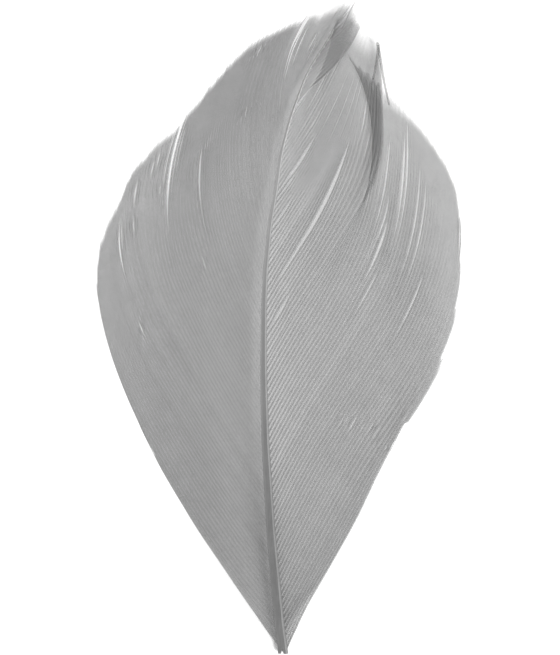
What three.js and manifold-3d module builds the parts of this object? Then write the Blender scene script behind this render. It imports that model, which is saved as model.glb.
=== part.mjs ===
// A goose body feather, trimmed short at the quill and lying on its margins, hollow side down.
// Millimetres, +Z up. The quill points to -Y, the tip to +Y, and the vanes spread along X.
// Every barb leaves the shaft at a slant and bends back towards the tip. A vane is the sheet
// between its first and its last barb, and it is a piece of its own wherever the barbs have
// come unzipped from their neighbours: two cracks in the left vane, two in the right one.

import * as THREE from 'three';
import Module from 'manifold-3d';
import { mergeVertices } from 'three/addons/utils/BufferGeometryUtils.js';

// ---- driving dimensions ----

const SHAFT_LENGTH = 79; // from the cut quill to where the rachis thins out among the last barbs
const SHAFT_TIP_HALF_WIDTH = 0.15;
const QUILL_HALF_WIDTH = 0.62; // at the cut end
const TAPER_LENGTH = 86; // where the taper would come to a point
const TAPER_POWER = 1.3; // over 1, so the quill keeps its width and the far end loses it
const SHAFT_HEIGHT_RATIO = 1.15; // the shaft is a little taller than it is wide
const SHAFT_STEPS = 24;

const QUILL_REST_HEIGHT = 0.8; // the shaft's centre line above the surface, at the cut end
const ARCH_HEIGHT = 2.3; // how much higher the arch of the shaft rises between its ends
const TIP_REST_HEIGHT = 1.15; // the thin end lies over the edge of the middle lobe

const VANE_THICKNESS = 0.3;
const SHAFT_GAP = 0.3; // between a vane's inner edge and the shaft
const MARGIN_START = 0.82; // the outer part of each barb, from this share of it, lies flat
const LAYER_LIFT = 0.65; // one lobe over another: its thickness and the air between them
const BARB_STEPS = 12;
const ROWS_PER_GUIDE = 2;

const NOTCH_WIDTH = 0.3; // the split in the cut end of the quill
const NOTCH_DEPTH = 0.65;
const NOTCH_OFFSET = -0.18; // it lies left of the middle, so the left prong is the thin one

// The centre line of the shaft in plan, from the cut end: [across, along].
const SHAFT_LINE = [
  [0.62, 0], [0.13, 3.7], [-0.27, 8], [-1.05, 16.7], [-1.7, 27.3], [-1.95, 36.5], [-1.9, 45.3],
  [-1.7, 49.9], [-1.08, 56.3], [-0.42, 59.9], [0.33, 65.2], [1.5, 69.7],
  [2.65, 72.9], [3.5, 75.3], [4.85, 77.7], [6.4, 79.9], [7.4, 81.7],
];

// A barb: its root along the feather, its lean in degrees (+ to the right of the feather's
// length) at the root, at each quarter and at the tip, and its length.
const LEFT_OUTER_BARBS = [
  [0.6, -33, -35, -32, -25, -16, 44.9],
  [3, -41, -34, -31, -22, -11, 49.4],
  [4.3, -43, -34, -30, -20, 2, 53.2],
  [8.6, -38, -34, -30, -18, 6, 52.8],
  [13.8, -37, -33, -31, -18, 15, 50.4],
  [19, -36, -32, -31, -13, 20, 49],
  [24.1, -35, -30, -27, -5, 22, 46.8],
  [28.9, -33, -29, -23, 2, 26, 43.5],
];
const LEFT_UPPER_BARBS = [
  [29.7, -33, -29, -23, 3, 26, 43.1],
  [33.7, -31, -28, -19, 6, 20, 40.9],
  [39, -29, -24, -11, 10, 19, 38.6],
  [44.8, -27, -20, -5, 11, 20, 35.1],
  [51.1, -23, -14, 0, 14, 25, 30.5],
  [58.7, 5, 3, 4, 14, 23, 23.8],
];
const LEFT_TIP_BARBS = [
  [59.8, 4, 4, 5, 20, 32, 23.4],
  [65.5, 5, 10, 16, 25, 26, 18.3],
  [69, 11, 13, 26, 25, 22, 15.6],
  [74.8, 11, 25, 31, 28, 28, 10.2],
  [79.7, 22, 23, 26, 29, 29, 5.6],
];
const RIGHT_OUTER_BARBS = [
  [1.4, 25, 29, 28, 25, 32, 30.2],
  [3.3, 29, 29, 28, 35, 23, 41.4],
  [5, 29, 28, 35, 24, -5, 55.5],
  [7.4, 26, 29, 34, 21, -5, 57.5],
  [9.9, 25, 30, 34, 19, -8, 58.1],
  [15, 24, 32, 33, 14, -10, 57],
  [20.2, 25, 33, 31, 10, -8, 53.8],
  [25.4, 26, 33, 29, 8, -3, 50.1],
  [30.6, 27, 33, 27, 8, 1, 46.1],
  [34.5, 28, 32, 25, 5, -2, 43.5],
  [37.8, 28, 34, 29, -3, -30, 43.3],
];
const RIGHT_MIDDLE_BARBS = [
  [38.4, 28, 34, 31, 0, -4, 45.2],
  [44.7, 30, 32, 23, 11, 10, 38.4],
  [50.5, 32, 32, 24, 16, 15, 33.1],
  [56.2, 34, 32, 26, 20, 19, 27.9],
  [62, 36, 32, 27, 23, 22, 22.6],
  [66.4, 34, 30, 26, 29, 20, 18.4],
  [70, 35, 34, 24, 15, 14, 14.4],
];
const RIGHT_TIP_BARBS = [
  [71, 26, 50, 43, 33, 20, 14.1],
  [73.5, 39, 45, 43, 34, 27, 11.7],
  [77.5, 45, 50, 45, 33, 27, 8.2],
  [80.4, 48, 44, 36, 27, 24, 5.7],
];

// ---- materials ----

const vaneMaterial = () => new THREE.MeshStandardMaterial({ color: 0xa9a9a9, roughness: 0.75, metalness: 0 });
const shaftMaterial = new THREE.MeshStandardMaterial({ color: 0x7d7d7d, roughness: 0.45, metalness: 0 });

// ---- shared shapes ----

const clamp01 = (x) => Math.min(Math.max(x, 0), 1);
const smooth = (x) => clamp01(x) ** 2 * (3 - 2 * clamp01(x));

// Smooth blend through a list of values, at a place counted in list steps.
function blend(values, place) {
  const last = values.length - 1;
  const i = Math.min(Math.floor(place), last - 1);
  const f = place - i;
  const [a, b, c, d] = [-1, 0, 1, 2].map((k) => values[Math.min(Math.max(i + k, 0), last)]);
  return b + 0.5 * f * (c - a + f * (2 * a - 5 * b + 4 * c - d + f * (3 * (b - c) + d - a)));
}

// Where the shaft's centre line is across the feather, at a distance along it.
function shaftAcross(along) {
  let i = SHAFT_LINE.findIndex((point) => point[1] > along) - 1;
  if (i < 0) {
    i = along < 0 ? 0 : SHAFT_LINE.length - 2;
  }
  const f = (along - SHAFT_LINE[i][1]) / (SHAFT_LINE[i + 1][1] - SHAFT_LINE[i][1]);
  return SHAFT_LINE[i][0] + f * (SHAFT_LINE[i + 1][0] - SHAFT_LINE[i][0]);
}

const shaftHalfWidth = (along) => Math.max(
  SHAFT_TIP_HALF_WIDTH,
  QUILL_HALF_WIDTH * (1 - (along / TAPER_LENGTH) ** TAPER_POWER),
);

function shaftHeight(along) {
  const share = along / SHAFT_LENGTH;
  const ends = QUILL_REST_HEIGHT + share * (TIP_REST_HEIGHT - QUILL_REST_HEIGHT);
  return ends + ARCH_HEIGHT * Math.sin(Math.PI * clamp01(share));
}

// How high a barb runs, as a share of the shaft's height: it slopes down and then lies flat.
const barbDrop = (share) => (1 - Math.min(share / MARGIN_START, 1) ** 2) ** 2;

// The lean at a share of the barb, straight between the quarters.
function leanAt(leans, share) {
  const place = clamp01(share) * (leans.length - 1);
  const i = Math.min(Math.floor(place), leans.length - 2);
  return leans[i] + (place - i) * (leans[i + 1] - leans[i]);
}

// The points of one barb, from the shaft to its tip, on the underside of the vane.
function barbLine(barb, side, lift) {
  const [root, ...leans] = barb;
  const length = leans.pop();
  const step = length / BARB_STEPS;
  let x = shaftAcross(root) + side * (shaftHalfWidth(root) + SHAFT_GAP);
  let y = root;
  const points = [];
  for (let i = 0; i <= BARB_STEPS; i += 1) {
    const share = i / BARB_STEPS;
    const z = (shaftHeight(root) - VANE_THICKNESS / 2) * barbDrop(share) + lift(share);
    points.push([x - side * SHAFT_GAP * share, y, z]);
    const lean = THREE.MathUtils.degToRad(leanAt(leans, share + 0.5 / BARB_STEPS));
    x += step * Math.sin(lean);
    y += step * Math.cos(lean);
  }
  return points;
}

// A closed sheet between the first and the last barb of a lobe.
function vaneGeometry(guides, side, lift) {
  const rowCount = (guides.length - 1) * ROWS_PER_GUIDE + 1;
  const rows = Array.from({ length: rowCount }, (_, r) => {
    const barb = guides[0].map((_, n) => blend(guides.map((guide) => guide[n]), r / ROWS_PER_GUIDE));
    return barbLine(barb, side, lift);
  });
  const columns = BARB_STEPS + 1;
  const positions = [];
  for (const top of [0, VANE_THICKNESS]) {
    rows.forEach((row) => row.forEach(([x, y, z]) => positions.push(x, y, z + top)));
  }
  const at = (r, c, layer) => layer * rowCount * columns + r * columns + c;
  const faces = [];
  const quad = (a, b, c, d) => faces.push(...(side > 0 ? [a, b, c, a, c, d] : [a, c, b, a, d, c]));
  for (let r = 0; r < rowCount - 1; r += 1) {
    for (let c = 0; c < BARB_STEPS; c += 1) {
      quad(at(r, c, 1), at(r, c + 1, 1), at(r + 1, c + 1, 1), at(r + 1, c, 1));
      quad(at(r, c, 0), at(r + 1, c, 0), at(r + 1, c + 1, 0), at(r, c + 1, 0));
    }
    quad(at(r, BARB_STEPS, 0), at(r + 1, BARB_STEPS, 0), at(r + 1, BARB_STEPS, 1), at(r, BARB_STEPS, 1));
    quad(at(r, 0, 1), at(r + 1, 0, 1), at(r + 1, 0, 0), at(r, 0, 0));
  }
  for (let c = 0; c < BARB_STEPS; c += 1) {
    quad(at(0, c, 0), at(0, c + 1, 0), at(0, c + 1, 1), at(0, c, 1));
    quad(at(rowCount - 1, c, 1), at(rowCount - 1, c + 1, 1), at(rowCount - 1, c + 1, 0), at(rowCount - 1, c, 0));
  }
  const geometry = new THREE.BufferGeometry();
  geometry.setAttribute('position', new THREE.Float32BufferAttribute(positions, 3));
  geometry.setIndex(faces);
  return geometry;
}

// The shaft's section: flat flanks that meet in a low ridge on top, and a round belly.
const SHAFT_SECTION = [
  [0, 1], [-0.6, 0.62], [-1, 0], [-0.75, -0.65], [0, -1], [0.75, -0.65], [1, 0], [0.6, 0.62],
];

function shaftGeometry() {
  const count = SHAFT_SECTION.length;
  const positions = [];
  for (let i = 0; i <= SHAFT_STEPS; i += 1) {
    const along = SHAFT_LENGTH * (i / SHAFT_STEPS) ** 1.2;
    const half = shaftHalfWidth(along);
    for (const [u, v] of SHAFT_SECTION) {
      const z = shaftHeight(along) + v * half * SHAFT_HEIGHT_RATIO;
      positions.push(shaftAcross(along) + u * half, along, z);
    }
  }
  const faces = [];
  for (let i = 0; i < SHAFT_STEPS; i += 1) {
    for (let k = 0; k < count; k += 1) {
      const [a, b] = [i * count + k, i * count + ((k + 1) % count)];
      faces.push(a, a + count, b + count, a, b + count, b);
    }
  }
  const end = SHAFT_STEPS * count;
  for (let k = 1; k < count - 1; k += 1) {
    faces.push(0, k, k + 1);
    faces.push(end, end + k + 1, end + k);
  }
  const geometry = new THREE.BufferGeometry();
  geometry.setAttribute('position', new THREE.Float32BufferAttribute(positions, 3));
  geometry.setIndex(faces);
  return geometry;
}

// ---- the split quill ----

const wasm = await Module();
wasm.setup();

function toSolid(geometry) {
  const bare = geometry.clone();
  bare.deleteAttribute('normal');
  bare.deleteAttribute('uv');
  const merged = mergeVertices(bare);
  return new wasm.Manifold(new wasm.Mesh({
    numProp: 3,
    vertProperties: new Float32Array(merged.attributes.position.array),
    triVerts: new Uint32Array(merged.index.array),
  }));
}

function toGeometry(solid) {
  const mesh = solid.getMesh();
  const geometry = new THREE.BufferGeometry();
  geometry.setAttribute('position', new THREE.BufferAttribute(mesh.vertProperties, 3));
  geometry.setIndex(new THREE.BufferAttribute(mesh.triVerts, 1));
  return geometry;
}

// A wedge, widest at the cut end, that parts the quill into two short prongs.
function notchedShaft() {
  const outline = new THREE.Shape([
    new THREE.Vector2(-NOTCH_WIDTH, -NOTCH_DEPTH),
    new THREE.Vector2(NOTCH_WIDTH, -NOTCH_DEPTH),
    new THREE.Vector2(0, NOTCH_DEPTH),
  ]);
  const depth = 4 * QUILL_REST_HEIGHT;
  const wedge = new THREE.ExtrudeGeometry(outline, { depth, bevelEnabled: false });
  wedge.translate(shaftAcross(0) + NOTCH_OFFSET, 0, -QUILL_REST_HEIGHT);
  return toGeometry(toSolid(shaftGeometry()).subtract(toSolid(wedge)));
}

// ---- the feather ----

const flat = () => 0;
const overOuter = (share) => LAYER_LIFT * smooth((share - 0.2) / 0.25);
const overMiddle = (share) => 2 * LAYER_LIFT * smooth(share / 0.25);

const PIECES = [
  ['left_vane_outer', LEFT_OUTER_BARBS, -1, flat],
  ['left_vane_upper', LEFT_UPPER_BARBS, -1, flat],
  ['left_vane_tip', LEFT_TIP_BARBS, -1, flat],
  ['right_vane_outer', RIGHT_OUTER_BARBS, 1, flat],
  ['right_vane_middle', RIGHT_MIDDLE_BARBS, 1, overOuter],
  ['right_vane_tip', RIGHT_TIP_BARBS, 1, overMiddle],
];

const feather = new THREE.Group();

const shaft = new THREE.Mesh(notchedShaft(), shaftMaterial);
shaft.name = 'shaft';
feather.add(shaft);

for (const [name, guides, side, lift] of PIECES) {
  const vane = new THREE.Mesh(vaneGeometry(guides, side, lift), vaneMaterial());
  vane.name = name;
  feather.add(vane);
}

// The origin is under the middle of the feather, on the surface it lies on.
const box = new THREE.Box3().setFromObject(feather);
const centre = box.getCenter(new THREE.Vector3());
feather.position.set(-centre.x, -centre.y, -box.min.z);

export default feather;
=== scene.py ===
# %% [markdown]
# # A goose feather, barb by barb
#
# A feather is a branching thing: a horn shaft carries a row of barbs on each side, and each barb
# carries a fringe of tiny barbules that hook into the next barb. Where the hooks hold, the barbs
# make a closed sheet, the vane. Where they have let go there is a slit with light in it.
#
# The CAD model holds the shaft and six thin sheets, one for each stretch of vane. Here each sheet
# is replaced by the barbs it is made of. A textured card would be quicker, but its edge would be
# a cut line and its slits would be painted. Real barbs give both for nothing.

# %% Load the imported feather
import bpy
import numpy as np
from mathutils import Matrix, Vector


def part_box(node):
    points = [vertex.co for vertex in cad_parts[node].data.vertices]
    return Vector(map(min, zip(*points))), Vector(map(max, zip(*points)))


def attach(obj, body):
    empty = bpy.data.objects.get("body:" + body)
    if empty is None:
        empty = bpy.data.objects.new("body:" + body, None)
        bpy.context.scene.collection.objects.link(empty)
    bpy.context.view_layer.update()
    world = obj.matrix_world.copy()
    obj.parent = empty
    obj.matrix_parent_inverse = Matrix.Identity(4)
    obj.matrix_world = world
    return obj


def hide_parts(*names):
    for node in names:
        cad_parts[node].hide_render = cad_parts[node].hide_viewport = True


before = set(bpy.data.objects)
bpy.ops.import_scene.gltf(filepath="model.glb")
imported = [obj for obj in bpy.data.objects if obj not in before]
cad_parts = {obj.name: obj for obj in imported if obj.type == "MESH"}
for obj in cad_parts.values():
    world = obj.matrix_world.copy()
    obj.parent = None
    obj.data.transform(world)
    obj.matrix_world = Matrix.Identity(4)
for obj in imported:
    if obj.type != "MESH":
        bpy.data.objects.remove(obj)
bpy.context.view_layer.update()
MM = 0.001
print("nodes:", sorted(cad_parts))

# %% [markdown]
# ## The shaft's line
#
# Everything on a feather is placed from its shaft, so its line comes first. It leans a little to
# the left, then turns right towards the tip. A few points, eased so that no corner shows, are
# enough. They are in millimetres: across the feather, then along it from the cut quill. The CAD
# shaft's own box says where that millimetre frame lies in the scene.

# %% The shaft's line
SHAFT_LENGTH = 79.0
SHAFT_LINE = np.array([
    (0.62, 0), (0.13, 3.7), (-0.27, 8), (-1.05, 16.7), (-1.7, 27.3), (-1.95, 36.5),
    (-1.9, 45.3), (-1.7, 49.9), (-1.08, 56.3), (-0.42, 59.9), (0.33, 65.2), (1.5, 69.7),
    (2.65, 72.9), (3.5, 75.3), (4.85, 77.7), (6.4, 79.9), (7.4, 81.7),
])
EASING = 1.2  # mm over which a corner of the line is rounded
QUILL_HALF_WIDTH = 0.62
FINEST_HALF_WIDTH = 0.09
CAD_TIP_HALF_WIDTH = 0.15
TAPER_LENGTH = 86.0  # where the taper would come to a point
TAPER_POWER = 1.3
QUILL_REST_HEIGHT, TIP_REST_HEIGHT, ARCH_HEIGHT = 0.68, 0.6, 2.4

def shaft_across(along):
    taps = np.linspace(-EASING, EASING, 7)
    here = np.asarray(along, float)[..., None] + taps
    return np.interp(here, SHAFT_LINE[:, 1], SHAFT_LINE[:, 0]).mean(-1)

def shaft_half_width(along):
    taper = 1 - (np.maximum(along, 0) / TAPER_LENGTH) ** TAPER_POWER
    return np.maximum(FINEST_HALF_WIDTH, QUILL_HALF_WIDTH * taper)

def shaft_height(along):
    share = np.clip(np.asarray(along) / SHAFT_LENGTH, 0, 1)
    ends = QUILL_REST_HEIGHT + share * (TIP_REST_HEIGHT - QUILL_REST_HEIGHT)
    return ends + ARCH_HEIGHT * np.sin(np.pi * share)

low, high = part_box("shaft")
cad_tip_across = np.interp(SHAFT_LENGTH, SHAFT_LINE[:, 1], SHAFT_LINE[:, 0])
SHIFT = np.array([high[0] / MM - cad_tip_across - CAD_TIP_HALF_WIDTH, low[1] / MM, 0])
print("the feather's frame sits at", SHIFT.round(3), "mm")

# %% [markdown]
# ## Guide barbs
#
# A feather's outline isn't drawn, it is where its barbs end. So the barbs are described, and the
# outline follows. Each guide barb has seven numbers: where it leaves the shaft, its lean in
# degrees at the root, at each quarter and at the tip, and its length. A lean is measured from
# the feather's length, plus to the right. The barbs between two guides blend them.

# %% The guide barbs of each lobe
GUIDES = {
    "left_vane_outer": [
        (1.2, -35, -35, -32, -25, -16, 44.3), (3, -41, -34, -31, -22, -11, 49.4),
        (4.3, -43, -34, -30, -20, 2, 53.2), (8.6, -38, -34, -30, -18, 6, 52.8),
        (13.8, -37, -33, -31, -18, 15, 50.4), (19, -36, -32, -31, -13, 20, 49),
        (24.1, -35, -30, -27, -5, 22, 46.8), (28.9, -33, -29, -23, 1, 21, 43.6),
    ],
    "left_vane_upper": [
        (29.7, -33, -29, -23, 3, 21, 43.1), (33.7, -31, -28, -19, 6, 20, 40.9),
        (39, -29, -24, -11, 10, 19, 38.6), (44.8, -27, -20, -5, 11, 20, 34.8),
        (51.1, -23, -14, 0, 14, 25, 30.4), (58.7, 5, 3, 4, 17, 37, 25.6),
    ],
    "left_vane_tip": [
        (59.8, 4, 4, 5, 18, 33, 23.7), (62.6, 4.5, 7, 10, 21.5, 30, 21.6),
        (65.5, 5, 10, 16, 25, 27, 18.4), (69, 11, 13, 26, 25, 22, 15.6),
        (74.8, 11, 25, 31, 28, 28, 10.2), (79.7, 22, 23, 26, 29, 29, 5.6),
        (81.3, 36, 36, 35, 35, 35, 4.0),
    ],
    "right_vane_outer": [
        (0.8, 20.5, 30.5, 29.5, 25.5, 30.5, 31.2), (2.2, 25, 30, 29, 30.7, 29, 36),
        (3.3, 27, 30, 29, 36, 25, 42), (4.4, 29, 28.5, 32.5, 30, 5, 50.6),
        (5.2, 28.5, 28.5, 34.2, 24, 0, 54.6), (7.4, 26, 29, 34.2, 22, -6, 57.4),
        (9.9, 25, 30, 34.2, 19.6, -9, 57.9), (15, 24, 32, 33, 14, -11, 56.8),
        (20.2, 25, 33, 31, 10, -8, 53.8), (25.4, 26, 33, 29, 8, -3, 50.1),
        (30.6, 27, 33, 27, 8, 1, 46.1), (34.5, 28, 32, 25, 5, -6, 43.8),
        (37.8, 28, 34, 28.5, -4, -33, 44.6),
    ],
    "right_vane_middle": [
        (38.4, 28, 34, 31, 0, -4, 45.2), (44.7, 30, 32, 23, 11, 10, 38.4),
        (50.5, 32, 32, 24, 16, 15, 33.1), (56.2, 34, 32, 26, 20, 19, 27.9),
        (62, 36, 32, 27, 23, 22, 22.6), (66.4, 34, 30, 26, 29, 20, 18.4),
        (70, 35, 34, 24, 15, 14, 14.4),
    ],
    "right_vane_tip": [
        (71, 26, 50, 43, 33, 20, 14.1), (73.5, 39, 45, 43, 34, 27, 11.7),
        (77.5, 45, 50, 45, 33, 27, 8.2), (80.4, 48, 44, 36, 27, 24, 5.2),
        (81.3, 42, 42, 38, 34, 32, 3.6),
    ],
}

def side_of(lobe):
    return -1 if lobe.startswith("left") else 1

# %% [markdown]
# ## From guides to barbs
#
# Barbs stand closest together near the quill and a little further apart above it. So the roots
# are counted off along the shaft by the local spacing, and each takes its numbers from the
# guides around it. The blend is a smooth curve through the guides, so no barb jumps.

# %% Spacing of the roots
SPACING = {  # mm along the shaft, from the quill end to the place given
    -1: ((8, 0.76), (48, 0.88)),
    1: ((6, 0.77), (20, 0.90)),
}

def roots_between(first, last, side):
    fine = np.linspace(first, last, 500)
    places, gaps = zip(*SPACING[side])
    count = np.cumsum((fine[1] - fine[0]) / np.interp(fine, places, gaps))
    return np.interp(np.linspace(count[0], count[-1], round(count[-1]) + 1), count, fine)

# %% Blend the guides into one row of numbers for each barb
def blended(table, place):
    last = len(table) - 1
    i = np.minimum(place.astype(int), last - 1)
    f = (place - i)[:, None]
    a, b, c, d = (table[np.clip(i + k, 0, last)] for k in (-1, 0, 1, 2))
    return b + 0.5 * f * (c - a + f * (2 * a - 5 * b + 4 * c - d + f * (3 * (b - c) + d - a)))

LENGTH_JITTER = 0.09  # mm that a barb is longer or shorter than its neighbours
BEYOND_CAD = 0.25  # mm: the finest ends reach past the CAD sheet's edge
rng = np.random.default_rng(7)

def rows_of(lobe):
    table = np.array(GUIDES[lobe], float)
    roots = roots_between(table[0, 0], table[-1, 0], side_of(lobe))
    rows = blended(table, np.interp(roots, table[:, 0], np.arange(len(table))))
    rows[:, 0] = roots
    rows[:, 6] += BEYOND_CAD + rng.normal(0, LENGTH_JITTER, len(rows))
    return rows

ROWS = {lobe: rows_of(lobe) for lobe in GUIDES}
print("barbs:", {lobe: len(rows) for lobe, rows in ROWS.items()})

# %% [markdown]
# ## From leans to lines
#
# A barb's line is walked out in small steps, each in the direction of the lean there, as one
# would pace out a curved path. Its height depends only on where it is: the vane is as high as the
# shaft beside it, and comes down to the table at its margin. So barbs that run beside the shaft
# near the tip lie level and don't climb over each other. The line starts a little inside the
# shaft, so that no daylight shows at its root, and no barb is quite as straight as the next.

# %% Small helpers
def smooth(x):
    """0 below 0, 1 above 1, and an even curve between them."""
    x = np.clip(x, 0, 1)
    return x * x * (3 - 2 * x)

def rise(x, start, end):
    """0 up to the start, 1 from the end on, and smooth between."""
    return smooth((x - start) / (end - start))

def size_of(v):
    return np.linalg.norm(v, axis=-1, keepdims=True)

def unit(v):
    return v / np.maximum(size_of(v), 1e-9)

# %% How high the vane lies
MARGIN_START = 0.82  # the share of the way to the margin from which it lies flat
RESTING_HEIGHT = 0.12  # mm from the table to a barb's middle at the margin
HALF_SPAN = {  # by mm along: mm from the shaft to where the vane is down
    -1: ((0, 12), (12, 14), (28, 18), (47, 22), (55, 21.4), (67, 16), (79, 11), (85, 8)),
    1: ((0, 5.5), (4, 6), (12, 9.5), (20, 14.5), (28, 19), (43, 24.3), (51, 25), (63, 22.2),
        (71, 15.5), (79, 11), (85, 8)),
}

def vane_height(side, across, along):
    span = np.interp(along, *np.transpose(HALF_SPAN[side]))
    share = np.abs(across - shaft_across(along)) / (span * MARGIN_START)
    drop = (1 - np.minimum(share, 1) ** 2) ** 2
    return RESTING_HEIGHT + (shaft_height(along) - RESTING_HEIGHT) * drop

LIFT = {  # mm over the lobe beneath, and the shares of the barb it grows over
    "right_vane_middle": (0.14, 0.2, 0.5), "right_vane_tip": (0.3, 0, 0.3),
}

# %% Walk out the barbs
STEPS = 88
SHARE = 1 - (1 - np.linspace(0, 1, STEPS + 1)) ** 1.2  # shorter steps towards the tip
QUARTERS = np.linspace(0, 1, 5)
BURIED = 0.3  # mm that each barb reaches into the shaft
SUNK = 0.1  # mm that its end in there lies lower
WANDER = 0.016  # mm that a barb strays sideways from an even row
WAVES = (1.5, 4, 9)  # half waves on one barb
STEADY_ROOT = 0.1  # share of the barb over which the waves set in

def waviness(count):
    """Slow random waves along each barb, one row for each."""
    total = 0
    for turns in WAVES:
        size = rng.normal(0, 1, (count, 1))
        start = rng.uniform(0, 6, (count, 1))
        total = total + size * np.sin(turns * np.pi * SHARE + start)
    return total / len(WAVES) ** 0.5 * rise(SHARE, 0, STEADY_ROOT)

def barb_lines(lobe):
    rows, side = ROWS[lobe], side_of(lobe)
    roots, lengths = rows[:, 0], rows[:, 6:]
    middle = (SHARE[1:] + SHARE[:-1]) / 2
    leans = np.radians([np.interp(middle, QUARTERS, row[1:6]) for row in rows])
    step = lengths * np.diff(SHARE)
    x = np.insert(np.cumsum(step * np.sin(leans), 1), 0, 0, 1)
    y = np.insert(np.cumsum(step * np.cos(leans), 1), 0, 0, 1)
    x += (shaft_across(roots) + side * shaft_half_width(roots))[:, None]
    x += WANDER * waviness(len(rows))
    y += roots[:, None]
    lift, start, end = LIFT.get(lobe, (0, 0, 1))
    z = vane_height(side, x, y) + lift * rise(SHARE, start, end)
    lines = np.stack([x, y, z], -1)
    inside = lines[:, :1] - BURIED * unit(lines[:, 1:2] - lines[:, :1]) - (0, 0, SUNK)
    return np.concatenate([inside, lines], 1)

STATIONS = np.insert(SHARE, 0, 0)  # share of the barb at each point; the buried one counts as 0
drawn_lines = {lobe: barb_lines(lobe) for lobe in GUIDES}
print("longest barb, mm:", round(max(rows[:, 6].max() for rows in ROWS.values()), 1))

# %% [markdown]
# ## Keep the barbs apart
#
# Drawn guides are never quite even, so some barbs would touch. Where two do, both give
# way, as they do when a feather is preened. One that would run right into a later one ends there.
# Spacing them by a formula would be simpler, but then the slits and lobes couldn't be shaped.

# %% The way from one barb to another
FINER = 4  # points looked at between two points of a neighbour's line

def square_to(along, v):
    return v - (v * along).sum(-1, keepdims=True) * along

def nearest(line, along, other, to_tip):
    """The sideways vector from each point to another barb, and how far it is there to its tip.

    The second is 0 at points beyond that barb's tip, and the vector means nothing there.
    """
    numbers = np.arange(len(other))
    places = np.linspace(0, len(other) - 1, FINER * len(other))
    fine = np.stack([np.interp(places, numbers, other[:, k]) for k in range(3)], 1)
    found = ((line[:, None] - fine) ** 2).sum(2).argmin(1)
    return square_to(along, fine[found] - line), np.interp(places[found], numbers, to_tip)

def tipwards(lobe, along):
    """The level direction square to a barb that points to the feather's tip."""
    return side_of(lobe) * unit(np.stack([-along[..., 1], along[..., 0], 0 * along[..., 0]], -1))

# %% Trim and comb
CLOSEST = 0.06  # mm: barbs closer than this are combed apart
COMBINGS = 4
WITHIN_REACH = 4  # how many of the following barbs one could run into
HALF_WAY = STEPS // 2  # no barb is trimmed below this point

def trimmed(lobe, lines):
    """A barb ends where it would run into one that follows, and its points are spaced out again."""
    for barb in reversed(range(len(lines) - 1)):
        for other in lines[barb + 1:barb + 1 + WITHIN_REACH]:
            along = unit(np.gradient(lines[barb], axis=0))
            gap, left = nearest(lines[barb], along, other, 1 - STATIONS)
            gap = np.where(left > 0, (gap * tipwards(lobe, along)).sum(1), CLOSEST)
            last_clear = np.flatnonzero(gap > 0.5 * CLOSEST).max(initial=0)
            if HALF_WAY < last_clear < STEPS and gap.min() < -CLOSEST:
                kept = np.linspace(1, last_clear, STEPS + 1)
                shorter = [np.interp(kept, np.arange(STEPS + 2), lines[barb, :, k]) for k in range(3)]
                lines[barb, 1:] = np.transpose(shorter)
    return lines

def combed(lobe, lines):
    for _ in range(COMBINGS):
        along = unit(np.gradient(lines, axis=1))
        tipward = tipwards(lobe, along)
        push = np.zeros_like(lines)
        for barb in range(len(lines) - 1):
            for here, there, way in ((barb, barb + 1, 1), (barb + 1, barb, -1)):
                gap, left = nearest(lines[here], along[here], lines[there], 1 - STATIONS)
                lack = np.clip(CLOSEST - way * (gap * tipward[here]).sum(1), 0, 1) * (left > 0)
                push[here] -= 0.5 * way * lack[:, None] * tipward[here]
        lines = lines + push
    return lines

rest_lines = {lobe: combed(lobe, trimmed(lobe, lines)) for lobe, lines in drawn_lines.items()}

# %% [markdown]
# ## Slits
#
# Where a barb's hooks have let go, it springs a little away from its neighbour and a slit opens.
# The barbs are pushed apart there and their webs keep the width they had, so the slit is a real
# gap. The push dies away over the next few barbs, as the crowding does in a real vane. Each slit
# has the root of the barb it follows, the shares of the barb where it starts and ends, and its
# width. An end past 1 means that the slit runs out through the margin.

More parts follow.
